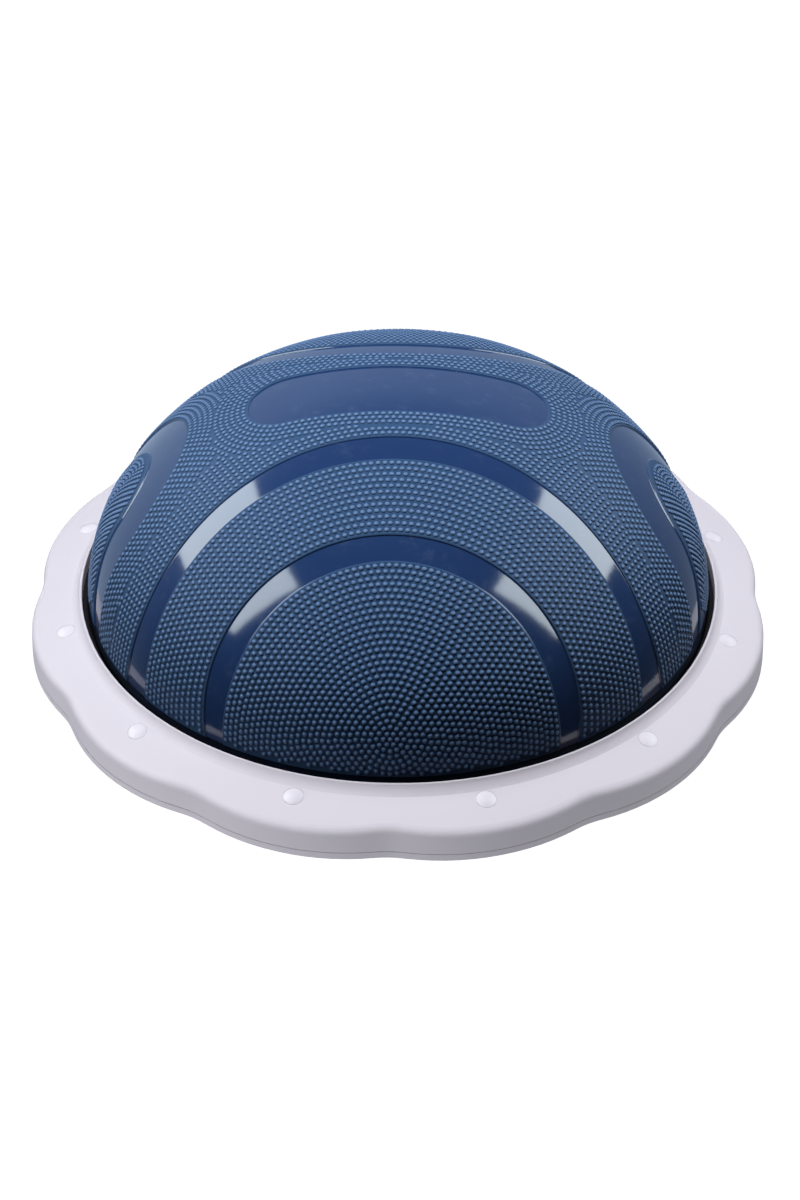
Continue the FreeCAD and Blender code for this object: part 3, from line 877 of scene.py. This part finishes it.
def rubber_finish(name, colour, roughness, grain_scale=700):
    """Dull rubber with a fine pitted face and pale bloom."""
    make = new_finish(name)
    pits = make.noise(grain_scale, detail=4)
    bloom = make.between(make.noise(30, detail=5, roughness=0.6), 0.45, 0.8)
    return make.surface(
        base_color=make.mixed(bloom * 0.3, shade(colour, 1.0), shade(colour, 1.6)),
        roughness=pits * 0.15 + roughness,
        normal=make.bumped(pits, 0.1 * MM, 0.6),
    )


def zinc_finish(name, colour):
    """Bright zinc plate with brushed streaks and dull patches."""
    make = new_finish(name)
    patches = make.noise(400, detail=3)
    return make.surface(
        base_color=make.mixed(patches, shade(colour, 0.8), shade(colour, 1.05)),
        metallic=1.0,
        roughness=patches * 0.2 + 0.22,
        normal=make.bumped(make.noise(2500, detail=2), 0.03 * MM, 0.4),
    )


def dress(nodes, material):
    """Gives CAD nodes a finish."""
    for name in nodes:
        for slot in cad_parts[name].material_slots:
            slot.material = material


# ---- settings ----
def length_setting(name, description, millimetres):
    return bpy.props.FloatProperty(
        name=name, description=description, default=millimetres * MM, unit="LENGTH")


def colour_setting(name, description, default):
    return bpy.props.FloatVectorProperty(
        name=name, description=description, default=default, subtype="COLOR")


def power_setting(name, description, default):
    return bpy.props.FloatProperty(
        name=name, description=description, default=default, subtype="POWER")


class DomeSettings(bpy.types.PropertyGroup):
    band_depth: length_setting("Band depth", "Dome's form down to the smooth bands", 1.5)
    tread_sink: length_setting("Tread sink", "Dome's form down to the ground between studs", 0.4)
    wall_width: length_setting("Step width", "Width of the step down to a band", 1.1)
    bead_height: length_setting("Bead height", "Height of the bead along a tread's edge", 0.25)
    bead_width: length_setting("Bead width", "Width of the bead along a tread's edge", 0.9)
    stud_diameter: length_setting("Stud diameter", "Diameter of a stud at its foot", 4.6)
    stud_height: length_setting("Stud height", "Height of a stud over its ground", 1.18)
    stud_pitch: length_setting("Stud pitch", "Stud to stud along a row", 5.6)
    row_spacing: length_setting("Row spacing", "Row to row in the open field", 5.25)
    edge_margin: length_setting("Edge margin", "First row to a tread's edge", 3.6)
    stud_clearance: length_setting("Stud clearance", "Least distance between two studs", 4.7)
    band_colour: colour_setting(
        "Band colour", "Colour of the smooth bands", (0.0110, 0.0305, 0.098))
    tread_colour: colour_setting("Tread colour", "Colour between the studs", (0.022, 0.052, 0.116))
    # pale top colour of the studs: partly wear, partly painted light on their tops
    stud_top_light_and_wear_colour: colour_setting(
        "Stud top colour", "Colour of the studs' rubbed tops", (0.092, 0.160, 0.300))
    dust_colour: colour_setting(
        "Dust colour", "Colour of the faint dust on the bands", (0.35, 0.40, 0.50))


class PlatformSettings(bpy.types.PropertyGroup):
    ring_colour: colour_setting(
        "Ring colour", "Colour of the rim ring and platform", (0.545, 0.526, 0.592))
    cap_colour: colour_setting("Cap colour", "Colour of the screw caps", (0.60, 0.585, 0.655))
    rubber_colour: colour_setting(
        "Rubber colour", "Colour of the gasket and grip sheet", (0.012, 0.012, 0.014))
    zinc_colour: colour_setting("Zinc colour", "Colour of screws and washers", (0.62, 0.64, 0.66))
    plug_colour: colour_setting("Plug colour", "Colour of the air plug", (0.03, 0.035, 0.045))


class StageSettings(bpy.types.PropertyGroup):
    floor_colour: colour_setting("Floor colour", "Colour of the floor", (0.30, 0.30, 0.30))
    floor_glow: bpy.props.FloatProperty(
        name="Floor glow", description="Share of its brightness that the floor gives as light",
        default=0.56)
    left_power: power_setting("Left light", "Power of the left softbox", 18)
    right_power: power_setting("Right light", "Power of the right softbox", 13)
    platform_top_power: power_setting(
        "Platform top light", "Power of the overhead softbox on the platform", 88)
    left_low_power: power_setting(
        "Left low light", "Power of the low left softbox on the platform", 13)
    right_low_power: power_setting(
        "Right low light", "Power of the low right softbox on the platform", 10)
    front_power: power_setting("Front light", "Power of the front softbox on the platform", 15)
    side_gloss: power_setting("Side sheen", "Power of each side reflector card", 27)
    top_power: power_setting("Top light", "Power of the overhead softbox on the dome", 112)
    lens: bpy.props.FloatProperty(
        name="Lens", description="Focal length in millimetres", default=72.29)


# ---- operators ----
class TRAINER_OT_dome_skin(bpy.types.Operator):
    """Moulds the dome's skin with its smooth bands"""
    bl_idname = "trainer.dome_skin"
    bl_label = "Dome skin"

    def execute(self, context):
        build_skin(context.scene.trainer_dome)
        return {"FINISHED"}


class TRAINER_OT_studs(bpy.types.Operator):
    """Plants the studs of every tread panel"""
    bl_idname = "trainer.studs"
    bl_label = "Studs"

    def execute(self, context):
        dome = context.scene.trainer_dome
        finish = stud_finish(dome)
        sides = both_sides(FRONT_POLE, 1, DISC_EDGE, INNER_BAND_EDGE, CRESCENT_EDGE)
        for word, (pole, (disc, inner, outer)) in zip(("front", "back"), sides):
            rows = disc_rows(disc, pole, DISC_ROWS, dome)
            plant_studs("studs_%s_disc" % word, rows, dome, finish)
            rows = crescent_rows(inner, outer, pole, dome)
            plant_studs("studs_%s_crescent" % word, rows, dome, finish)
        sides = both_sides(SIDE_POLE, 0, SIDE_DISC_EDGE)
        for word, (pole, (disc,)) in zip(("right", "left"), sides):
            rows = disc_rows(disc, pole, SIDE_DISC_ROWS, dome)
            plant_studs("studs_%s_disc" % word, rows, dome, finish)
        field = field_rows(dome)
        plant_studs("studs_field_right", field[field[:, 0] >= 0], dome, finish)
        plant_studs("studs_field_left", field[field[:, 0] < 0], dome, finish)
        return {"FINISHED"}


class TRAINER_OT_platform(bpy.types.Operator):
    """Finishes the rim ring and the platform"""
    bl_idname = "trainer.platform"
    bl_label = "Rim ring and platform"

    def execute(self, context):
        colour = context.scene.trainer_platform.ring_colour
        finish = moulded_finish("moulded_rim_plastic", colour, roughness=0.5, sheen=0.1)
        dress(["top_ring", "base_plate"], finish)
        return {"FINISHED"}


class TRAINER_OT_fixings(bpy.types.Operator):
    """Finishes the screw caps, screws and washers"""
    bl_idname = "trainer.fixings"
    bl_label = "Caps, screws and washers"

    def execute(self, context):
        platform = context.scene.trainer_platform
        caps = [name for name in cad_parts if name.startswith("screw_cap")]
        finish = moulded_finish("moulded_cap_plastic", platform.cap_colour, 0.4, 1400, sheen=0.3)
        dress(caps, finish)
        dress(["clamp_screws", "screw_washers"], zinc_finish("zinc_plate", platform.zinc_colour))
        return {"FINISHED"}


class TRAINER_OT_seals(bpy.types.Operator):
    """Finishes the gasket, the cushion, the bladder's floor and the grip sheet"""
    bl_idname = "trainer.seals"
    bl_label = "Gasket, cushion and sheets"

    def execute(self, context):
        vinyl = context.scene.trainer_dome.band_colour
        rubber = context.scene.trainer_platform.rubber_colour
        dress(["rim_gasket"], rubber_finish("gasket_rubber", rubber, 0.7))
        dress(["flange_cushion"], rubber_finish("cushion_foam", shade(rubber, 2.5), 0.8, 1800))
        dress(["non_slip_sheet"], rubber_finish("grip_rubber", shade(rubber, 1.5), 0.65))
        dress(["bladder_floor"], rubber_finish("floor_vinyl", vinyl, 0.45))
        return {"FINISHED"}


class TRAINER_OT_valve(bpy.types.Operator):
    """Finishes the air valve's seat and plug"""
    bl_idname = "trainer.valve"
    bl_label = "Air valve"

    def execute(self, context):
        vinyl = context.scene.trainer_dome.band_colour
        plug = context.scene.trainer_platform.plug_colour
        dress(["valve_seat"], rubber_finish("valve_rubber", vinyl, 0.4))
        dress(["valve_plug"], moulded_finish("plug_plastic", plug, 0.4, 1600))
        return {"FINISHED"}


# ---- studio ----
FLOOR_HALF = 6.0
FLOOR_DROP = 0.2 * MM
FLOOR_WHITE = 1.05               # brightness of the floor where the camera sees it
LIGHT_AIM = (0, 0, 0.1)
CARD_PLACE = (1.196, 0.14, 1.015)    # of the right card; the left one mirrors it
CARD_AIM = (0.066, 0.12, 0.025)
CARD_SIZE = (1.78, 0.83)
CARD_ROLL = math.radians(-7.5)
CARD_COLOUR = (0.88, 0.98, 1.0)
TOP_PLACE, TOP_SIZE = (-0.1, 0.38, 2.55), (1.3, 1.2)
SIDE_SIZE = (1.0, 0.8)
LOW_SIZE = (1.0, 0.25)
FRONT_SIZE = (1.0, 0.5)
# each softbox: (name, place, size, setting of its power, group of pieces that it lights)
SOFTBOXES = (
    ("left_light", (-1.9, -0.5, 0.85), SIDE_SIZE, "left_power", DOME_PIECES),
    ("right_light", (1.8, 0.85, 0.8), SIDE_SIZE, "right_power", DOME_PIECES),
    ("top_light", TOP_PLACE, TOP_SIZE, "top_power", DOME_PIECES),
    ("platform_top_light", TOP_PLACE, TOP_SIZE, "platform_top_power", PLATFORM_PIECES),
    ("left_low_light", (-1.75, -0.85, 0.18), LOW_SIZE, "left_low_power", PLATFORM_PIECES),
    ("right_low_light", (1.85, 0.45, 0.18), LOW_SIZE, "right_low_power", PLATFORM_PIECES),
    ("front_low_light", (-0.3, -2.4, 0.9), FRONT_SIZE, "front_power", PLATFORM_PIECES),
)
SKY_TINT = (0.70, 0.90, 1.18, 1)
SKY_BACK = (-0.1, 0.8)           # headings between which the glow grows towards the back
SKY_HIGH = (0.45, 0.88)          # headings between which it dies out upwards
SKY_GLOW, SKY_LEAST = 0.5, 0.03
SKY_SIDE_FALL = 0.5              # how much weaker it is on the right
WHITE = (1, 1, 1, 1)
CAMERA_PLACE = (0.04135, -1.71040, 1.31096)
CAMERA_PITCH = math.radians(37.096)
CAMERA_TURN = math.radians(1.335)
CAMERA_SENSOR = 36


def studio_light(name, place, aim, size, power, gloss=False, roll=0.0, colour=(1, 1, 1)):
    """A rectangular light that faces a point, seen only as gloss or only as soft light."""
    lamp = bpy.data.lights.new(name, "AREA")
    lamp.shape = "RECTANGLE"
    lamp.size, lamp.size_y = size
    lamp.energy = power
    lamp.color = colour
    light = bpy.data.objects.new(name, lamp)
    bpy.context.scene.collection.objects.link(light)
    light.location = place
    facing = (Vector(aim) - Vector(place)).to_track_quat("-Z", "Y")
    light.rotation_euler = (facing @ Quaternion((0, 0, 1), roll)).to_euler()
    light.visible_glossy = gloss
    light.visible_diffuse = not gloss
    light.visible_camera = False
    return light


def lay_floor(stage):
    """A pale floor that is white to the camera and lights the platform from below."""
    half = FLOOR_HALF
    corners = [(-half, -half, 0), (half, -half, 0), (half, half, 0), (-half, half, 0)]
    mesh = bpy.data.meshes.new("studio_floor")
    mesh.from_pydata(corners, [], [(0, 1, 2, 3)])
    floor = bpy.data.objects.new("studio_floor", mesh)
    bpy.context.scene.collection.objects.link(floor)
    floor.location.z = -FLOOR_DROP
    make = new_finish("floor_paint")
    seen = make.node("ShaderNodeLightPath").outputs["Is Camera Ray"]
    paint = shade(stage.floor_colour, 0.99), shade(stage.floor_colour, 1.01)
    material = make.surface(
        base_color=make.mixed(make.noise(3, detail=2), *paint),
        roughness=0.9,
        specular_ior_level=0.0,
        emission_color=make.mixed(seen, shade(WHITE, stage.floor_glow), WHITE),
        emission_strength=FLOOR_WHITE,
    )
    mesh.materials.append(material)
    floor.visible_glossy = False
    floor.light_linking.receiver_collection = bpy.data.collections[PLATFORM_PIECES]


def hang_lights(stage):
    """Two reflector cards for the gloss, and the softboxes."""
    for name, side in (("left_card", -1), ("right_card", 1)):
        place, aim = ((side * x, y, z) for x, y, z in (CARD_PLACE, CARD_AIM))
        studio_light(
            name, place, aim, CARD_SIZE, stage.side_gloss, True, side * CARD_ROLL, CARD_COLOUR)
    for name, place, size, power, group in SOFTBOXES:
        light = studio_light(name, place, LIGHT_AIM, size, getattr(stage, power))
        light.light_linking.receiver_collection = bpy.data.collections[group]


def light_world():
    """A plain white backdrop that gives a faint glow behind the dome to its gloss."""
    world = bpy.data.worlds.new("studio")
    bpy.context.scene.world = world
    world.cycles_visibility.diffuse = False
    world.use_nodes = True
    make = Finish(world.node_tree)
    seen = make.node("ShaderNodeLightPath").outputs["Is Camera Ray"]
    heading = make.node("ShaderNodeTexCoord").outputs["Generated"]
    split = make.node("ShaderNodeSeparateXYZ", None, {0: heading}).outputs
    right, back, high = (Value(make, split[axis]) for axis in "XYZ")
    low = 1 - make.between(high, *SKY_HIGH)
    glow = make.between(back, *SKY_BACK) * low * (1 - right * SKY_SIDE_FALL)
    strength = make.node(
        "ShaderNodeMix", {"data_type": "FLOAT"}, {0: seen, 2: glow * SKY_GLOW + SKY_LEAST, 3: 1.0})
    sky = make.node("ShaderNodeBackground", None, {
        "Color": make.mixed(seen, SKY_TINT, WHITE),
        "Strength": strength.outputs[0],
    })
    make.node("ShaderNodeOutputWorld", None, {"Surface": sky.outputs[0]})


def set_camera(stage):
    """The camera that looks down on the trainer from the front."""
    lens = bpy.data.cameras.new("camera")
    lens.lens = stage.lens
    lens.sensor_width = CAMERA_SENSOR
    camera = bpy.data.objects.new("camera", lens)
    bpy.context.scene.collection.objects.link(camera)
    camera.location = CAMERA_PLACE
    camera.rotation_euler = (math.pi / 2 - CAMERA_PITCH, 0, CAMERA_TURN)
    bpy.context.scene.camera = camera


class TRAINER_OT_stage(bpy.types.Operator):
    """Sets the floor, the studio light and the camera"""
    bl_idname = "trainer.stage"
    bl_label = "Floor, light and camera"

    def execute(self, context):
        stage = context.scene.trainer_stage
        bpy.data.collections.new(DOME_PIECES)
        platform_pieces = bpy.data.collections.new(PLATFORM_PIECES)
        for name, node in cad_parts.items():
            if name != "dome_bladder":
                platform_pieces.objects.link(node)
        lay_floor(stage)
        hang_lights(stage)
        light_world()
        set_camera(stage)
        context.scene.view_settings.view_transform = "Standard"
        return {"FINISHED"}


class TRAINER_PT_panel(bpy.types.Panel):
    """Lists the trainer's pieces and their settings"""
    bl_idname = "TRAINER_PT_panel"
    bl_label = "Balance dome trainer"
    bl_space_type = "VIEW_3D"
    bl_region_type = "UI"
    bl_category = "Trainer"

    def draw(self, context):
        for operator in OPERATORS:
            self.layout.operator(operator.bl_idname)
        scene = context.scene
        for settings in (scene.trainer_dome, scene.trainer_platform, scene.trainer_stage):
            column = self.layout.column()
            for key in settings.__annotations__:
                column.prop(settings, key)


OPERATORS = (
    TRAINER_OT_stage,
    TRAINER_OT_dome_skin,
    TRAINER_OT_studs,
    TRAINER_OT_platform,
    TRAINER_OT_fixings,
    TRAINER_OT_seals,
    TRAINER_OT_valve,
)
SETTINGS = (DomeSettings, PlatformSettings, StageSettings)
CLASSES = SETTINGS + OPERATORS + (TRAINER_PT_panel,)


def register():
    for each in CLASSES:
        bpy.utils.register_class(each)
    bpy.types.Scene.trainer_dome = bpy.props.PointerProperty(type=DomeSettings)
    bpy.types.Scene.trainer_platform = bpy.props.PointerProperty(type=PlatformSettings)
    bpy.types.Scene.trainer_stage = bpy.props.PointerProperty(type=StageSettings)


def unregister():
    del bpy.types.Scene.trainer_stage
    del bpy.types.Scene.trainer_platform
    del bpy.types.Scene.trainer_dome
    for each in reversed(CLASSES):
        bpy.utils.unregister_class(each)


def main():
    register()
    bpy.ops.trainer.stage()
    bpy.ops.trainer.dome_skin()
    bpy.ops.trainer.studs()
    bpy.ops.trainer.platform()
    bpy.ops.trainer.fixings()
    bpy.ops.trainer.seals()
    bpy.ops.trainer.valve()


if __name__ == "__main__":
    main()
